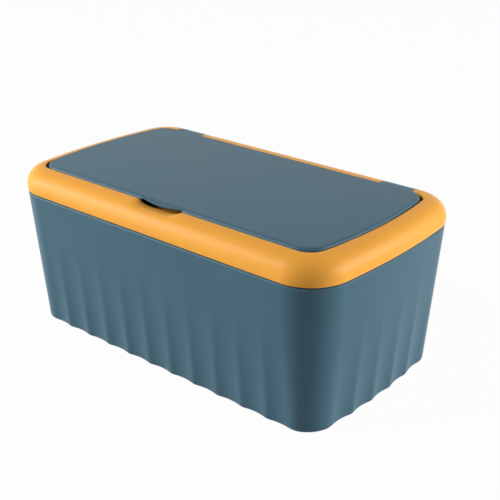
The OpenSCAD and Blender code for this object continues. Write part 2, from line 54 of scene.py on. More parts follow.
# ---- Camera, fitted to the photograph (millimetres)
CAMERA_PLACE = (325.48, -365.20, 267.44)
CAMERA_RIGHT = (0.7622, 0.6473, 0.0017)
CAMERA_UP = (-0.2619, 0.3060, 0.9153)
CAMERA_BACK = (0.5919, -0.6981, 0.4028)
CAMERA_LENS, SENSOR_WIDTH = 69.285, 36.0

# ---- Sizes shared with the CAD solids (millimetres, plain ratios and degrees)
LENGTH, DEPTH = 220.0, 125.0
CORNER_R, END_BOW, BOW_END = 23.0, 2.3, 0.8
SHOULDER_Z, BASE_Z, FLOOR_Z = 80.6, 0.5, 3.4
TUB_INSET, END_LEAN, SIDE_LEAN, BASE_CORNER_R, WALL = 0.35, 5.4, 6.4, 17.0, 2.4
BASE_ROUND, RIM_ROUND, INNER_ROUND = 2.0, 1.2, 4.0
UPSTAND_OUT, UPSTAND_T, UPSTAND_Z = 2.1, 1.4, 85.0
FLUTE_W, FLUTE_TOP, RIDGE_HALF = 16.36, 55.0, 1.5
LONG_FLUTES, END_FLUTES = 11, 5
COVER_Z, BEAD_Z, CREST_Z, CREST_LAND, BEAD_LEAN, SKIN = 81.2, 83.5, 93.9, 1.0, 0.3, 1.8
BEAD_H = CREST_Z - BEAD_Z
DECK_Z, DECK_UNDER, LEDGE_Z, LEDGE_W = 88.3, 86.3, 90.9, 2.6
RECESS_CORNER_R, LID_CORNER_R, LID_BOW, LID_GAP, SWING_GAP = 10.0, 12.0, 3.2, 0.5, 0.6
LID_HALF_L, LID_HALF_D, LID_Y = 98.75, 49.0, -1.5
LID_Z, LID_TOP, LID_UNDER, LID_ROUND, LID_WALL = 91.0, 95.0, 92.8, 2.0, 1.8
HINGE_X, HINGE_Y, HINGE_Z = 75.0, 56.016, 90.278
TAB_W, TAB_GAP, CHEEK, BARREL_R, BARREL_ANGLE, BORE_R = 20.0, 0.3, 5.0, 2.0, 55.0, 1.06
SLOT_FLOOR = 87.98
CHANNEL_IN, CHANNEL_Z, RIB_T, RIB_Z = 4.6, 86.6, 1.2, 85.1
CAVITY_IN, CAVITY_Z = 8.95, 90.3
OUTLET_L, OUTLET_W, FLANGE, OUTLET_T = 122.0, 44.0, 2.6, 1.2
COLLAR_L, COLLAR_W, COLLAR_T, COLLAR_Z = 135.2, 57.2, 1.6, 90.2
PULL_L, PULL_W, PULL_END_R = 92.0, 9.0, 8.0
SEAL_L, SEAL_W, SEAL_T, SEAL_Z, SLIP_GAP, SEAT_GAP = 133.8, 55.8, 3.0, 90.3, 0.3, 0.1
COVER_SEAL_IN, COVER_SEAL_W, COVER_SEAL_H = 1.9, 2.6, 1.4
FOOT_X, FOOT_Y, FOOT_R, POCKET_Z = 80.0, 34.0, 6.1, 2.0
SPRING_X, SPRING_Y, COIL_R, WIRE_R = 62.0, 26.0, 9.0, 0.4
SPRING_Z, SPRING_L, CURLS, END_PITCH, TRAVEL = 3.5, 34.0, 7, 1.3, 20.0
STUD_R, STUD_H = 7.645, 4.0
LID_FRONT = LID_Y - LID_HALF_D
LID_REAR = LID_Y + LID_HALF_D
LID_RIB_PLACES = (0.82, 0.9)

# ---- Sizes of the scene alone (millimetres and plain ratios)
FLUTE_DEPTH, FLUTE_FADE = 1.25, 1.25
RUN_OUT_Z = FLUTE_TOP + 6
# The finger lip's half width, reach, slope of its top, underside and the underside's arch
LIP_HALF, LIP_OUT, LIP_SLOPE, LIP_UNDER, LIP_ARCH = 14.0, 1.1, 0.27, 93.2, 0.0075
LIP_THIN, LIP_ROOM, LIP_OVERLAP = 0.35, 0.4, 0.02
# The finger notch's half width, step outward, depth, and reach towards the front
NOTCH_HALF, NOTCH_OUT = 16.5, 0.3
SCOOP_DEPTH, SCOOP_REACH = 2.4, 8.0
# Radii of softly broken edges, from crisp to soft
CRISP, FINE, SOFT, ROUND = 0.2, 0.3, 0.4, 0.5
# Where a path meets a flat face: how far before the next corner it starts
LEAD, CREST_LEAD = 0.8, 0.7


# ---- Plans: (half length, half depth, corner radius, radius of the bowed ends or None)
def arc_r(half, rise):
    return (half * half + rise * rise) / (2 * rise)


def plan(half_l, half_d, r, bow):
    return (half_l, half_d, r, arc_r(half_d - BOW_END * r, bow))


def stadium(length, width):
    return (length / 2, width / 2, width / 2, None)


def grow(p, d):
    return tuple(None if v is None else v + d for v in p)


def corner_of(p):
    """Centre of the rear right corner, centre of the bow and half its angle."""
    half_l, half_d, r, bow = p
    y = half_d - r
    if bow is None:
        return half_l - r, y, half_l, 0.0
    x = half_l - bow + math.sqrt((bow - r) ** 2 - y * y)
    return x, y, half_l - bow, math.asin(y / (bow - r))


BEAD = plan(LENGTH / 2, DEPTH / 2, CORNER_R, END_BOW)
LID = plan(LID_HALF_L, LID_HALF_D, LID_CORNER_R, LID_BOW)
RECESS = plan(LID_HALF_L + LID_GAP, LID_HALF_D + LID_GAP + SWING_GAP / 2, RECESS_CORNER_R, LID_BOW)
RECESS_Y = LID_Y + SWING_GAP / 2
CREST = grow(RECESS, CREST_LAND)
CREST_FRONT, CREST_REAR = RECESS_Y - CREST[1], RECESS_Y + CREST[1]
FRONT_W, REAR_W = DEPTH / 2 + CREST_FRONT, DEPTH / 2 - CREST_REAR

# Steps along the plans: close together near the middle, where the notch and the lip are
NEAR_REACH, NEAR_STEP = 20.0, 0.5
NEAR = np.arange(0, NEAR_REACH + NEAR_STEP / 2, NEAR_STEP)
FAR_STEPS, CORNER_STEPS, END_STEPS, FLUTE_STEPS = 9, 16, 8, 8


def whole(quarter):
    """A closed ring from its rear right quarter, which runs from the middle of the rear to the end."""
    q = np.asarray(quarter, float)
    back = q[::-1]
    return np.vstack([q, back[1:] * (1, -1), q[1:] * (-1, -1), back[1:-1] * (-1, 1)])


def outline(p):
    """A plan's ring, with points at the same places along every plan."""
    x, y, bow_x, a = corner_of(p)
    far = NEAR[-1] + (x - NEAR[-1]) * np.arange(1, FAR_STEPS) / FAR_STEPS
    side = [(v, p[1]) for v in np.concatenate([NEAR, far])]
    n = CORNER_STEPS + (END_STEPS if p[3] is None else 0)
    turn = [math.pi / 2 + (a - math.pi / 2) * k / n for k in range(n + 1)]
    corner = [(x + p[2] * math.cos(b), y + p[2] * math.sin(b)) for b in turn]
    end = []
    if p[3] is not None:
        end = [(bow_x + p[3] * math.cos(a * (1 - k / END_STEPS)), p[3] * math.sin(a * (1 - k / END_STEPS)))
               for k in range(1, END_STEPS + 1)]
    return whole(side + corner + end)


def pull_outline(d):
    """The wipe slot with its round ends, moved outward by d."""
    r, half_w = PULL_END_R + d, PULL_W / 2 + d
    x = PULL_L / 2 - PULL_END_R
    start = math.pi - math.asin(half_w / r)
    meet = x + r * math.cos(start)
    count = len(NEAR) + FAR_STEPS - 1
    side = [(meet * k / count, half_w) for k in range(count)]
    n = CORNER_STEPS + END_STEPS
    arc = [(x + r * math.cos(start * (1 - k / n)), r * math.sin(start * (1 - k / n))) for k in range(n + 1)]
    return whole(side + arc)


def rounded(points, steps=4):
    """An open path of (offset, height[, radius]) with its corners rounded."""
    path = [tuple(points[0][:2])]
    for before, here, after in zip(points, points[1:], points[2:]):
        r = here[2] if len(here) > 2 else 0
        p = np.array(here[:2], float)
        if not r:
            path.append(tuple(p))
            continue
        u = np.array(before[:2], float) - p
        v = np.array(after[:2], float) - p
        u, v = u / np.linalg.norm(u), v / np.linalg.norm(v)
        half = math.acos(max(-1, min(1, float(u @ v)))) / 2
        reach, hub = r / math.tan(half), p + (u + v) / np.linalg.norm(u + v) * r / math.sin(half)
        a, b = p + u * reach - hub, p + v * reach - hub
        for k in range(steps + 1):
            t = k / steps
            w = math.acos(max(-1, min(1, float(a @ b) / (r * r))))
            point = hub + (a * math.sin((1 - t) * w) + b * math.sin(t * w)) / math.sin(w)
            path.append(tuple(point))
    path.append(tuple(points[-1][:2]))
    return path


def at_height(ring, z):
    """A flat ring, lifted to a height."""
    return np.column_stack([ring, np.full(len(ring), z)])


def ring_of(p, d, z, y=0.0):
    """The ring round a plan, moved outward by d, at a height."""
    return at_height(outline(grow(p, d)) + (0, y), z)


def rings_of(p, points, y=0.0):
    """Rings round a plan for a rounded path."""
    return [ring_of(p, d, z, y) for d, z in rounded(points)]


# ---- Meshes
def signed_volume(points, faces):
    total = 0.0
    for f in faces:
        for i in range(1, len(f) - 1):
            total += np.dot(points[f[0]], np.cross(points[f[i]], points[f[i + 1]]))
    return total


def piece(name, points, faces):
    """A mesh object in metres, with its faces outward."""
    points = np.asarray(points, float) * MM
    if signed_volume(points, faces) < 0:
        faces = [tuple(reversed(f)) for f in faces]
    mesh = bpy.data.meshes.new(name)
    mesh.from_pydata([tuple(v) for v in points], [], faces)
    mesh.update()
    obj = bpy.data.objects.new(name, mesh)
    bpy.context.scene.collection.objects.link(obj)
    return obj


def loft(name, rings, closed=False):
    """A skin over rings of one count: closed into a loop, or with a flat face at each end."""
    n, m = len(rings[0]), len(rings)
    faces = []
    for j in range(m if closed else m - 1):
        k = (j + 1) % m
        for i in range(n):
            h = (i + 1) % n
            faces.append((j * n + i, j * n + h, k * n + h, k * n + i))
    if not closed:
        faces.append(tuple(range(n - 1, -1, -1)))
        faces.append(tuple((m - 1) * n + i for i in range(n)))
    return piece(name, np.vstack(rings), faces)


def prism(name, outline_yz, x0, x1):
    """A flat outline in Y and Z, drawn out along X."""
    n = len(outline_yz)
    points = [(x, y, z) for x in (x0, x1) for y, z in outline_yz]
    faces = [(i, (i + 1) % n, n + (i + 1) % n, n + i) for i in range(n)]
    faces += [tuple(range(n - 1, -1, -1)), tuple(range(n, 2 * n))]
    return piece(name, points, faces)


def box_piece(name, low, high):
    (x0, y0, z0), (x1, y1, z1) = low, high
    return prism(name, [(y0, z0), (y1, z0), (y1, z1), (y0, z1)], x0, x1)


def rod(name, centre, r, length, axis, sides=72):
    """A cylinder from centre along an axis, 'X' or 'Z'."""
    points, x, y, z = [], *centre
    for s in (0, length):
        for k in range(sides):
            a = 2 * math.pi * k / sides
            u, v = r * math.cos(a), r * math.sin(a)
            points.append((x + s, y + u, z + v) if axis == "X" else (x + u, y + v, z + s))
    faces = [(k, (k + 1) % sides, sides + (k + 1) % sides, sides + k) for k in range(sides)]
    faces += [tuple(range(sides - 1, -1, -1)), tuple(range(sides, 2 * sides))]
    return piece(name, points, faces)


def combine(target, others, operation):
    """Joins solids to a piece, or cuts them from it, and removes them."""
    for other in others:
        mod = target.modifiers.new("cut", "BOOLEAN")
        mod.object, mod.operation, mod.solver = other, operation, "EXACT"
    bpy.context.view_layer.update()
    evaluated = target.evaluated_get(bpy.context.evaluated_depsgraph_get())
    mesh = bpy.data.meshes.new_from_object(evaluated)
    target.modifiers.clear()
    old, target.data = target.data, mesh
    bpy.data.meshes.remove(old)
    mesh.name = target.name
    for other in others:
        bpy.data.objects.remove(other)
    return target


def smooth(obj, angle=32.0):
    """Smooth shading that keeps true edges crisp and flat faces flat."""
    obj.data.shade_smooth()
    obj.data.set_sharp_from_angle(angle=math.radians(angle))
    mod = obj.modifiers.new("normals", "WEIGHTED_NORMAL")
    mod.keep_sharp, mod.weight = True, 60
    return obj


# ---- Tub
def down(z):
    """How far down the tub a height is, from 0 at the shoulder to 1 at the base."""
    return (SHOULDER_Z - z) / (SHOULDER_Z - BASE_Z)


def flute_at(z):
    """Depth of the flutes at a height, running out smoothly a little above their nominal top."""
    return FLUTE_DEPTH * max(0.0, (RUN_OUT_Z - z) / (RUN_OUT_Z - BASE_Z)) ** FLUTE_FADE


def wall_plan(z, inward):
    """The tub's plan at a height, moved inward."""
    r = CORNER_R - TUB_INSET
    return plan(LENGTH / 2 - TUB_INSET - END_LEAN * down(z) - inward,
                DEPTH / 2 - TUB_INSET - SIDE_LEAN * down(z) - inward,
                r - (r - BASE_CORNER_R) * down(z) - inward, END_BOW)


def scallop(w):
    """Depth of a flute, from 0 to 1, at w flute widths from the nearest ridge."""
    ridge = RIDGE_HALF / FLUTE_W
    if w >= ridge:
        return 4 * w * (1 - w)
    return 2 * ridge + 2 * (1 - 2 * ridge) * w * w / ridge


def half_side(count):
    """Places along a half side, from its middle to its last ridge: (distance, depth)."""
    places = []
    for k in range(count * FLUTE_STEPS):
        across = 0.5 + k / (2 * FLUTE_STEPS)
        w = across % 1.0
        places.append(((across - 0.5) * FLUTE_W, scallop(min(w, 1 - w))))
    return places + [(count / 2 * FLUTE_W, 2 * RIDGE_HALF / FLUTE_W)]


LONG_PLACES, END_PLACES = half_side(LONG_FLUTES), half_side(END_FLUTES)


def fluted(p, d, z):
    """The tub's ring at a height, with flutes of depth d."""
    cx, cy, bow_x, a = corner_of(p)
    _, half_d, r, bow = p

    def side_y(x):
        return half_d if x <= cx else cy + math.sqrt(max(0.0, r * r - (x - cx) ** 2))

    def end_x(y):
        if y <= bow * math.sin(a):
            return bow_x + math.sqrt(bow * bow - y * y)
        return cx + math.sqrt(max(0.0, r * r - (y - cy) ** 2))

    side = [(x, side_y(x) - d * s) for x, s in LONG_PLACES]
    end = [(end_x(y) - d * s, y) for y, s in reversed(END_PLACES)]
    last_x, last_y = LONG_PLACES[-1][0], END_PLACES[-1][0]
    start = math.acos((last_x - cx) / r) if last_x > cx else math.pi / 2
    stop = math.asin((last_y - cy) / r) if last_y > cy else a
    steps = 2 * CORNER_STEPS
    fade = LONG_PLACES[-1][1] * d
    corner = []
    for k in range(1, steps):
        b = start + (stop - start) * k / steps
        blend = min(1.0, min(k, steps - k) / 4)
        reach = r - fade * (1 - blend) ** 2
        corner.append((cx + reach * math.cos(b), cy + reach * math.sin(b)))
    return at_height(whole(side + corner + end), z)


def tub_rings():
    """Rings up the outside, over the shoulder and the upstand, and down the inside to the floor."""
    rings = []
    for k in range(9):
        a = math.pi / 2 * k / 8
        z = BASE_Z + BASE_ROUND * (1 - math.cos(a))
        rings.append(fluted(wall_plan(z, BASE_ROUND * (1 - math.sin(a))), flute_at(z), z))
    for z in np.linspace(BASE_Z + BASE_ROUND, SHOULDER_Z - RIM_ROUND, 30)[1:-1]:
        rings.append(fluted(wall_plan(z, 0), flute_at(z), z))
    for k in range(7):
        a = math.pi / 2 * k / 6
        z = SHOULDER_Z - RIM_ROUND * (1 - math.sin(a))
        rings.append(fluted(wall_plan(z, RIM_ROUND * (1 - math.cos(a))), 0, z))
    near, far = -UPSTAND_OUT, -UPSTAND_OUT - UPSTAND_T
    for d, z in rounded([(near + 0.4, SHOULDER_Z), (near, SHOULDER_Z, CRISP), (near, UPSTAND_Z, SOFT),
                         (far, UPSTAND_Z, SOFT), (far, UPSTAND_Z - 2)]):
        rings.append(fluted(grow(BEAD, d), 0, z))
    for z in np.linspace(RUN_OUT_Z, FLOOR_Z + INNER_ROUND, 12)[:-1]:
        rings.append(fluted(wall_plan(z, WALL), flute_at(z), z))
    for k in range(7):
        a = math.pi / 2 * (1 - k / 6)
        z = FLOOR_Z + INNER_ROUND * (1 - math.cos(a))
        rings.append(fluted(wall_plan(z, WALL + INNER_ROUND * (1 - math.sin(a))), flute_at(z), z))
    return rings


def corners():
    """Signs of the four corners."""
    return [(sx, sy) for sx in (-1, 1) for sy in (-1, 1)]


def make_tub():
    """The tub, with a pocket for each foot and a stud for each spring."""
    past, sunk = 1, 0.5
    tub = loft("tub_shell", tub_rings())
    pockets = [rod("pocket", (sx * FOOT_X, sy * FOOT_Y, -past), FOOT_R, POCKET_Z + past, "Z")
               for sx, sy in corners()]
    combine(tub, pockets, "DIFFERENCE")
    studs = [rod("stud", (sx * SPRING_X, sy * SPRING_Y, FLOOR_Z - sunk), STUD_R, STUD_H + sunk, "Z")
             for sx, sy in corners()]
    return smooth(combine(tub, studs, "UNION"))


# ---- Cover
def dip(x):
    """Shape of the finger notch along the front, from 1 in its middle to 0 at its ends."""
    return (1 - np.minimum(np.abs(x) / NOTCH_HALF, 1) ** 5) ** 2


def top_z(y):
    """Height of the front bead's outer surface."""
    fall = np.clip((CREST_FRONT - y) / FRONT_W, 0, 1)
    return BEAD_Z + BEAD_H * np.sqrt(1 - fall ** 2)


def scooped(ring):
    """Lowers a ring's points into the scoop, which runs out towards the front of the bead."""
    x, y, z = ring.T
    share = np.clip((CREST_FRONT - y) / SCOOP_REACH, 0, 1)
    run_out = 1 - share * share * (3 - 2 * share)
    ring[:, 2] = z - np.where(y < LID_FRONT + 1, SCOOP_DEPTH * dip(x) * run_out, 0)
    return ring


def notched(ring):
    """Moves the front of a recess ring out to the finger notch."""
    ring[:, 1] -= np.where(ring[:, 1] < 0, NOTCH_OUT * dip(ring[:, 0]), 0)
    return ring


def lowered(ring, level):
    """Lowers a ring to a level inside the finger notch."""
    x, y, z = ring.T
    inside = (np.abs(x) < LIP_HALF) & (y < 0)
    ring[:, 2] = np.where(inside, np.minimum(z, level), z)
    return ring


def bead_ring(a):
    """The bead at an angle up its rounding; in front of the notch it ends before the notch's edge."""
    share = math.cos(a)
    x, y = (outline(tuple(c + (b - c) * share for b, c in zip(BEAD, CREST))) + (0, RECESS_Y * (1 - share))).T
    near = (np.abs(x) < NOTCH_HALF) & (y < 0)
    last = CREST_FRONT - NOTCH_OUT * dip(x)
    y = np.where(near, -DEPTH / 2 + (last + DEPTH / 2) * (1 - share), y)
    z = np.where(near, top_z(y), BEAD_Z + BEAD_H * math.sin(a))
    return scooped(np.column_stack([x, y, z]))


def backed(x, y):
    """Where the bead's hollow is filled, behind the scoop and at the hinges."""
    hinge = (np.abs(np.abs(x) - HINGE_X) < TAB_W / 2 + TAB_GAP + CHEEK) & (y > 0)
    return hinge | ((np.abs(x) < NOTCH_HALF + SKIN) & (y < 0))


def cover_rings():
    """Rings from the skirt up over the bead, into the recess, through the outlet and back below."""
    rings = []
    side = [(-SKIN, CHANNEL_Z - 3), (-SKIN, COVER_Z, FINE), (-BEAD_LEAN, COVER_Z, 0.35)]
    side += [(-BEAD_LEAN * ((BEAD_Z - z) / (BEAD_Z - COVER_Z)) ** 2, z)
             for z in np.linspace(COVER_Z + 0.7, BEAD_Z, 6)]
    rings += rings_of(BEAD, side)
    rings += [bead_ring(math.pi / 2 * k / 20) for k in range(1, 21)]
    for d, z in rounded([(CREST_LEAD, CREST_Z), (0, CREST_Z, ROUND), (0, LEDGE_Z + 0.6)], 6):
        ring = notched(ring_of(RECESS, d, z, RECESS_Y))
        front = (np.abs(ring[:, 0]) < NOTCH_HALF) & (ring[:, 1] < 0)
        ring[:, 2] -= np.where(front, CREST_Z - top_z(ring[:, 1]), 0)
        rings.append(scooped(ring))
    for d, z in rounded([(0, LEDGE_Z + 0.3), (0, LEDGE_Z, CRISP), (-LEDGE_W, LEDGE_Z, FINE),
                         (-LEDGE_W, DECK_Z, SOFT), (-LEDGE_W - 1, DECK_Z)]):
        ring = ring_of(RECESS, d, z, RECESS_Y)
        rings.append(lowered(notched(ring) if d > -0.5 * LEDGE_W else ring, DECK_Z))
    rings += rings_of(stadium(COLLAR_L, COLLAR_W), [
        (COLLAR_T + LEAD, DECK_Z), (COLLAR_T, DECK_Z, SOFT), (COLLAR_T, COLLAR_Z, ROUND),
        (0, COLLAR_Z, ROUND), (0, DECK_Z, FINE), (-LEAD, DECK_Z)])
    rings += rings_of(stadium(OUTLET_L, OUTLET_W), [
        (LEAD, DECK_Z), (0, DECK_Z, FINE), (0, DECK_UNDER, FINE), (LEAD, DECK_UNDER)])
    rib_in = -CHANNEL_IN - RIB_T
    under = rings_of(BEAD, [
        (-CAVITY_IN - LEAD, DECK_UNDER), (-CAVITY_IN, DECK_UNDER, FINE), (-CAVITY_IN, CAVITY_Z, SOFT),
        (rib_in, CAVITY_Z, SOFT), (rib_in, RIB_Z, FINE), (-CHANNEL_IN, RIB_Z, FINE),
        (-CHANNEL_IN, CHANNEL_Z, FINE), (-SKIN, CHANNEL_Z, FINE), (-SKIN, CHANNEL_Z - 2)])
    for ring in under:
        filled = backed(ring[:, 0], ring[:, 1]) & (ring[:, 2] > CHANNEL_Z)
        ring[:, 2] = np.where(filled, DECK_UNDER, ring[:, 2])
    return rings + under


def make_cover():
    """The cover, with a slot for each hinge tab cut through its rear bead."""
    past = 5
    cover = loft("cover_shell", cover_rings(), closed=True)
    half = TAB_W / 2 + TAB_GAP
    slots = [box_piece("slot", (s * HINGE_X - half, RECESS_Y + RECESS[1] - LEDGE_W, SLOT_FLOOR),
                       (s * HINGE_X + half, DEPTH / 2 + past, CREST_Z + past)) for s in (-1, 1)]
    return smooth(combine(cover, slots, "DIFFERENCE"))


# ---- Lid
def across_lip(section):
    """Rings along the finger lip; a section gets the place, the lip's front, underside and top there."""
    r = arc_r(LIP_HALF, LIP_OUT)
    rings = []
    for x in np.linspace(-LIP_HALF, LIP_HALF, 51):
        out = -LIP_OUT + r - math.sqrt(r * r - x * x)
        top = LID_TOP - LIP_SLOPE * (LID_ROUND - out)
        under = min(LIP_UNDER + LIP_ARCH * x * x, top - LIP_THIN)
        rings.append(np.array([(x, LID_FRONT + y, z) for y, z in section(out, under, top)]))
    return rings


def make_lip():
    """The finger lip: a thin crescent whose top slopes down from the lid's own top."""
    return loft("lip", across_lip(lambda out, under, top: rounded([
        (LID_ROUND, under + LIP_OVERLAP), (out, under + LIP_OVERLAP, 0.1), (out, top, CRISP),
        (LID_ROUND, LID_TOP - LIP_OVERLAP / 2)])))


def under_lip():
    """The finger room, cut from the lid's rim below the lip."""
    return loft("under_lip", across_lip(lambda out, under, top: [
        (-2, LID_Z - 1), (LID_ROUND + LIP_ROOM, LID_Z - 1), (LID_ROUND + LIP_ROOM, under), (-2, under)]))


def make_tab(side):
    """A hinge tab, flush with the rear bead, with its barrel and bore."""
    drop, touch = HINGE_Z - LID_Z, math.radians(BARREL_ANGLE)
    path = [(LID_REAR - LID_WALL, LID_Z), (HINGE_Y - math.sqrt(BARREL_R ** 2 - drop ** 2), LID_Z)]
    start = math.pi + math.asin(drop / BARREL_R)
    stop = 2 * math.pi + math.atan2(math.sin(touch) / BEAD_H, math.cos(touch) / REAR_W)
    for k in range(1, 33):
        a = start + (stop - start) * k / 32
        path.append((HINGE_Y + BARREL_R * math.cos(a), HINGE_Z + BARREL_R * math.sin(a)))
    for k in range(1, 11):
        a = touch + (math.pi / 2 - touch) * k / 10
        path.append((CREST_REAR + REAR_W * math.cos(a), BEAD_Z + BEAD_H * math.sin(a)))
    path.append((LID_REAR - LID_WALL, CREST_Z))
    tab = prism("tab", path, side * HINGE_X - TAB_W / 2, side * HINGE_X + TAB_W / 2)
    bore = rod("bore", (side * HINGE_X - TAB_W, HINGE_Y, HINGE_Z), BORE_R, 2 * TAB_W, "X", 48)
    return combine(tab, [bore], "DIFFERENCE")


def make_lid():
    """The flip lid with its ribs, finger lip and hinge tabs."""
    rings = rings_of(LID, [(-8, LID_TOP), (-LID_ROUND - 0.4, LID_TOP)], LID_Y)
    for k in range(11):
        a = math.pi / 2 * (1 - k / 10)
        d, z = LID_ROUND * (math.cos(a) - 1), LID_TOP - LID_ROUND * (1 - math.sin(a))
        rings.append(ring_of(LID, d, z, LID_Y))
    rings += rings_of(LID, [(0, LID_Z + 0.6), (0, LID_Z, FINE), (-LID_WALL, LID_Z, FINE),
                            (-LID_WALL, LID_UNDER, ROUND), (-LID_WALL - 1, LID_UNDER)], LID_Y)
    for room in (SEAL_T + SLIP_GAP, -RIB_T - SLIP_GAP):
        rings += rings_of(stadium(SEAL_L + 2 * room, SEAL_W + 2 * room), [
            (RIB_T + 0.5, LID_UNDER), (RIB_T, LID_UNDER, CRISP), (RIB_T, LID_UNDER - RIB_T, FINE),
            (0, LID_UNDER - RIB_T, FINE), (0, LID_UNDER, CRISP), (-0.5, LID_UNDER)])
    lid = loft("lid_shell", rings)
    ribs = [box_piece("rib", (s * f * LID_HALF_L - RIB_T / 2, LID_FRONT + RIB_T, LID_UNDER - RIB_T),
                      (s * f * LID_HALF_L + RIB_T / 2, LID_REAR - RIB_T, LID_UNDER + 0.4))
            for s in (-1, 1) for f in LID_RIB_PLACES]
    combine(lid, ribs, "UNION")
    combine(lid, [under_lip()], "DIFFERENCE")
    combine(lid, [make_lip(), make_tab(-1), make_tab(1)], "UNION")
    return smooth(lid)


# ---- Soft outlet, seals and springs
def make_outlet():
    """The soft outlet: a web with the wipe slot, and a groove that grips the deck's opening."""
    top, under = DECK_Z + SEAT_GAP, DECK_UNDER - SEAT_GAP
    web, low = top + OUTLET_T, under - OUTLET_T
    slot = [(LEAD, top), (0, top, FINE), (0, web, ROUND), (2 * LEAD, web)]
    rings = [at_height(pull_outline(d), z) for d, z in reversed(rounded(slot, 5))]
    rings += rings_of(stadium(OUTLET_L, OUTLET_W), [
        (-FLANGE - LEAD, top), (-FLANGE, top, SOFT), (-FLANGE, low, SOFT), (FLANGE / 2, low, SOFT),
        (FLANGE / 2, under, SOFT), (-SEAT_GAP, under, CRISP), (-SEAT_GAP, top, CRISP),
        (FLANGE, top, FINE), (FLANGE, web, 0.6), (FLANGE - 2 * LEAD, web)])
    return smooth(loft("outlet_insert", rings, closed=True), 50)


def make_lid_seal():
    """The ring under the lid, rounder where it presses on the deck."""
    top, press_r = LID_UNDER - SEAT_GAP, 0.9
    path = [(SEAL_T / 2, SEAL_Z), (SEAL_T, SEAL_Z, press_r), (SEAL_T, top, ROUND), (0, top, ROUND),
            (0, SEAL_Z, press_r), (SEAL_T / 2, SEAL_Z)]
    return smooth(loft("lid_seal_ring", rings_of(stadium(SEAL_L, SEAL_W), path)[:-1], closed=True), 60)


def make_cover_seal():
    """The ring in the cover's channel, over the tub's upstand."""
    low, high = UPSTAND_Z + SEAT_GAP, UPSTAND_Z + SEAT_GAP + COVER_SEAL_H
    near, far = -COVER_SEAL_IN, -COVER_SEAL_IN - COVER_SEAL_W
    mid = (near + far) / 2
    path = [(mid, low), (near, low, SOFT), (near, high, SOFT), (far, high, SOFT), (far, low, SOFT),
            (mid, low)]
    return smooth(loft("cover_seal_ring", rings_of(BEAD, path)[:-1], closed=True), 60)


def make_spring(name, sx, sy):
    """A wound spring, closed at each end, as one round wire."""
    rise = SPRING_L - 2 * WIRE_R
    pitch = (rise - 2 * END_PITCH) / (CURLS - 2)

    def height(t):
        if t < 1:
            return END_PITCH * t
        if t < CURLS - 1:
            return END_PITCH + pitch * (t - 1)
        return rise - END_PITCH * (CURLS - t)

    per_turn, sides, rings = 36, 14, []
    for k in range(CURLS * per_turn + 1):
        t = k / per_turn
        a = 2 * math.pi * t
        ring = []
        for s in range(sides):
            b = 2 * math.pi * s / sides
            r = COIL_R + WIRE_R * math.cos(b)
            ring.append((sx * SPRING_X + r * math.cos(a), sy * SPRING_Y + r * math.sin(a),
                         SPRING_Z + WIRE_R + height(t) + WIRE_R * math.sin(b)))
        rings.append(np.array(ring))
    return smooth(loft(name, rings), 60)


# ---- Materials
def linear(r, g, b):
    """Linear colour from sRGB values of 0 to 255."""
    shares = [c / 255 for c in (r, g, b)]
    return tuple(c / 12.92 if c <= 0.04045 else ((c + 0.055) / 1.055) ** 2.4 for c in shares) + (1.0,)


def node(tree, kind, **values):
    """A new shader node with some of its settings."""
    made = tree.nodes.new(kind)
    for key, value in values.items():
        setattr(made, key, value)
    return made


def noise(tree, place, scale, detail=2.0, rough=0.5):
    """A noise texture's value."""
    made = node(tree, "ShaderNodeTexNoise")
    made.inputs["Scale"].default_value = scale
    made.inputs["Detail"].default_value = detail
    made.inputs["Roughness"].default_value = rough
    tree.links.new(place, made.inputs["Vector"])
    return made.outputs["Fac"]


def span(tree, value, low, high, to_low, to_high):
    """A value, mapped from one range to another."""
    made = node(tree, "ShaderNodeMapRange")
    for key, v in zip(("From Min", "From Max", "To Min", "To Max"), (low, high, to_low, to_high)):
        made.inputs[key].default_value = v
    tree.links.new(value, made.inputs["Value"])
    return made.outputs["Result"]


def moulded(name, colour, rough, grain, grain_scale, specular, mottle=0.03, edge=0.18):
    """Satin moulded plastic or rubber: fine grain, faint mottling and softly broken edges.

    The grain's depth and the edges' radius are in millimetres.
    """
    material = bpy.data.materials.new(name)
    material.use_nodes = True
    tree = material.node_tree
    shader = tree.nodes["Principled BSDF"]
    place = node(tree, "ShaderNodeTexCoord").outputs["Object"]
    broad = noise(tree, place, 28.0, 3.0)
    fine = noise(tree, place, grain_scale, 3.0, 0.6)
    tint = node(tree, "ShaderNodeMix", data_type="RGBA", blend_type="MIX")
    base = linear(*colour)
    tint.inputs[6].default_value = tuple(c * (1 - mottle) for c in base[:3]) + (1.0,)
    tint.inputs[7].default_value = tuple(min(1.0, c * (1 + mottle)) for c in base[:3]) + (1.0,)
    tree.links.new(span(tree, broad, 0.3, 0.7, 0.0, 1.0), tint.inputs[0])
    tree.links.new(tint.outputs[2], shader.inputs["Base Color"])
    spread = node(tree, "ShaderNodeMath", operation="ADD")
    tree.links.new(span(tree, fine, 0.3, 0.7, rough - 0.04, rough + 0.04), spread.inputs[0])
    tree.links.new(span(tree, broad, 0.3, 0.7, -0.02, 0.02), spread.inputs[1])
    tree.links.new(spread.outputs[0], shader.inputs["Roughness"])
    bevel = node(tree, "ShaderNodeBevel", samples=4)
    bevel.inputs["Radius"].default_value = edge * MM
    bump = node(tree, "ShaderNodeBump")
    bump.inputs["Strength"].default_value = 1.0
    bump.inputs["Distance"].default_value = grain * MM
    tree.links.new(fine, bump.inputs["Height"])
    tree.links.new(bevel.outputs["Normal"], bump.inputs["Normal"])
    tree.links.new(bump.outputs["Normal"], shader.inputs["Normal"])
    shader.inputs["Specular IOR Level"].default_value = specular
    return material


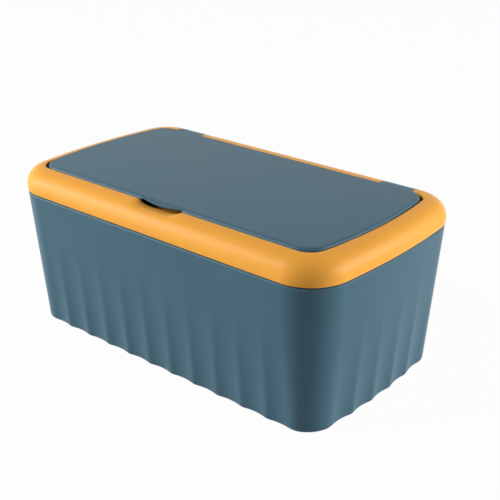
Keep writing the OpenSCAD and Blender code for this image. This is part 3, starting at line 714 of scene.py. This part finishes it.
def steel(name):
    """Drawn spring wire: bright metal with fine marks."""
    material = bpy.data.materials.new(name)
    material.use_nodes = True
    tree = material.node_tree
    shader = tree.nodes["Principled BSDF"]
    shader.inputs["Metallic"].default_value = 1.0
    place = node(tree, "ShaderNodeTexCoord").outputs["Object"]
    marks = noise(tree, place, 900.0, 2.0)
    tint = node(tree, "ShaderNodeMix", data_type="RGBA", blend_type="MIX")
    tint.inputs[6].default_value = linear(168, 170, 174)
    tint.inputs[7].default_value = linear(205, 206, 208)
    tree.links.new(marks, tint.inputs[0])
    tree.links.new(tint.outputs[2], shader.inputs["Base Color"])
    tree.links.new(span(tree, marks, 0.3, 0.7, 0.22, 0.36), shader.inputs["Roughness"])
    return material


def paint(obj, material):
    """Gives an object one material."""
    obj.data.materials.clear()
    obj.data.materials.append(material)
    return obj


# ---- Stage and light
def seen_directly(tree):
    """1 for the camera's rays and for the rays that gloss and glass send out, otherwise 0."""
    rays = node(tree, "ShaderNodeLightPath").outputs
    value = rays["Is Camera Ray"]
    for kind in ("Is Glossy Ray", "Is Transmission Ray"):
        either = node(tree, "ShaderNodeMath", operation="MAXIMUM")
        tree.links.new(value, either.inputs[0])
        tree.links.new(rays[kind], either.inputs[1])
        value = either.outputs[0]
    return value


def make_floor():
    """The plain pale floor, white where the camera or a reflection sees it."""
    half = 4.0
    mesh = bpy.data.meshes.new("floor")
    mesh.from_pydata([(-half, -half, 0), (half, -half, 0), (half, half, 0), (-half, half, 0)], [],
                     [(0, 1, 2, 3)])
    floor = bpy.data.objects.new("floor", mesh)
    bpy.context.scene.collection.objects.link(floor)
    material = bpy.data.materials.new("floor")
    material.use_nodes = True
    tree = material.node_tree
    shader = tree.nodes["Principled BSDF"]
    shader.inputs["Base Color"].default_value = (0.5, 0.5, 0.5, 1)
    shader.inputs["Roughness"].default_value = 0.9
    shader.inputs["Specular IOR Level"].default_value = 0.0
    glow = node(tree, "ShaderNodeEmission")
    glow.inputs["Color"].default_value = (1, 1, 1, 1)
    mixed = node(tree, "ShaderNodeMixShader")
    share = node(tree, "ShaderNodeMath", operation="MULTIPLY")
    share.inputs[1].default_value = FLOOR_GLOW
    tree.links.new(seen_directly(tree), share.inputs[0])
    tree.links.new(share.outputs[0], mixed.inputs[0])
    tree.links.new(shader.outputs[0], mixed.inputs[1])
    tree.links.new(glow.outputs[0], mixed.inputs[2])
    tree.links.new(mixed.outputs[0], tree.nodes["Material Output"].inputs["Surface"])
    mesh.materials.append(material)


def make_world(level):
    """Faint light from all round, with a white backdrop."""
    world = bpy.data.worlds.new("studio")
    bpy.context.scene.world = world
    world.use_nodes = True
    tree = world.node_tree
    light = tree.nodes["Background"]
    light.inputs["Color"].default_value = (1, 1, 1, 1)
    light.inputs["Strength"].default_value = level
    backdrop = node(tree, "ShaderNodeBackground")
    backdrop.inputs["Color"].default_value = (1, 1, 1, 1)
    backdrop.inputs["Strength"].default_value = 1.0
    mixed = node(tree, "ShaderNodeMixShader")
    tree.links.new(seen_directly(tree), mixed.inputs[0])
    tree.links.new(light.outputs[0], mixed.inputs[1])
    tree.links.new(backdrop.outputs[0], mixed.inputs[2])
    tree.links.new(mixed.outputs[0], tree.nodes["World Output"].inputs["Surface"])


def make_lamp(name, azimuth, elevation, distance, width, height, power):
    """A soft box that looks at the object. Azimuth 0 is in front and 90 on the right."""
    a, e = math.radians(azimuth), math.radians(elevation)
    away = Vector((math.sin(a) * math.cos(e), -math.cos(a) * math.cos(e), math.sin(e)))
    data = bpy.data.lights.new(name, "AREA")
    data.shape, data.size, data.size_y, data.energy = "RECTANGLE", width, height, power
    lamp = bpy.data.objects.new(name, data)
    bpy.context.scene.collection.objects.link(lamp)
    lamp.location = Vector((0, 0, AIM_Z * MM)) + away * distance
    lamp.rotation_euler = away.to_track_quat("Z", "Y").to_euler()
    return lamp


# Share of the floor's own white where it is seen directly; the rest shows the object's shadow
FLOOR_GLOW = 0.97
AMBIENT = 0.02
# Height of the point that the lamps look at (millimetres)
AIM_Z = 50
# Azimuth and elevation in degrees, distance, width and height in metres, and power in watts
LAMPS = [
    ("lamp_left", -45, 32, 1.6, 0.8, 0.8, 21.0),
    ("lamp_left_low", -55, 10, 1.6, 0.8, 0.9, 18.0),
    ("lamp_right", 120, 9, 1.6, 1.2, 1.2, 43.0),
]

# ---- The scene
camera_data = bpy.data.cameras.new("camera")
camera_data.lens = CAMERA_LENS
camera_data.sensor_width = SENSOR_WIDTH
camera = bpy.data.objects.new("camera", camera_data)
bpy.context.scene.collection.objects.link(camera)
camera.matrix_world = Matrix([
    (CAMERA_RIGHT[i], CAMERA_UP[i], CAMERA_BACK[i], CAMERA_PLACE[i] * MM) for i in range(3)
] + [(0, 0, 0, 1)])
bpy.context.scene.camera = camera
bpy.context.scene.view_settings.view_transform = "Standard"

navy = moulded("navy_satin", (70, 102, 117), rough=0.38, grain=0.006, grain_scale=2600.0, specular=0.1)
amber = moulded("amber_satin", (241, 169, 68), rough=0.36, grain=0.006, grain_scale=2600.0, specular=0.1,
                mottle=0.02)
pale = moulded("pale_plastic", (224, 226, 222), rough=0.45, grain=0.006, grain_scale=2200.0,
               specular=0.4, mottle=0.015)
silicone = moulded("silicone", (226, 226, 220), rough=0.55, grain=0.004, grain_scale=3200.0,
                   specular=0.4, mottle=0.02, edge=0.3)
rubber = moulded("foot_rubber", (38, 40, 42), rough=0.7, grain=0.01, grain_scale=2400.0,
                 specular=0.3, mottle=0.05, edge=0.3)
wire = steel("spring_wire")

replacements = [
    (make_tub(), "base", "tub", "navy_shell", navy),
    (make_cover(), "cover", "cover", "amber_shell", amber),
    (make_lid(), "lid", "flip_lid", "navy_shell", navy),
    (make_outlet(), "cover", "outlet", "soft_seal", silicone),
    (make_lid_seal(), "lid", "lid_seal", "soft_seal", silicone),
    (make_cover_seal(), "cover", "cover_seal", "soft_seal", silicone),
]
for end_y, sy in (("front", -1), ("rear", 1)):
    for end_x, sx in (("left", -1), ("right", 1)):
        spring = make_spring(f"spring_wire_{end_y}_{end_x}", sx, sy)
        replacements.append((spring, "base", f"spring_{end_y}_{end_x}", "spring_steel", wire))

for obj, body, node_name, slot, material in replacements:
    paint(obj, material)
    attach(obj, body)
    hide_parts(node_name)
    if node_name.startswith("spring_"):
        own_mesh(obj)

for node_name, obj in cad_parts.items():
    if node_name.startswith("foot_"):
        paint(obj, rubber)
    elif node_name == "lift_tray":
        paint(obj, pale)
    elif node_name.startswith("hinge_pin"):
        paint(obj, wire)

make_floor()
make_world(AMBIENT)
for lamp in LAMPS:
    make_lamp(*lamp)
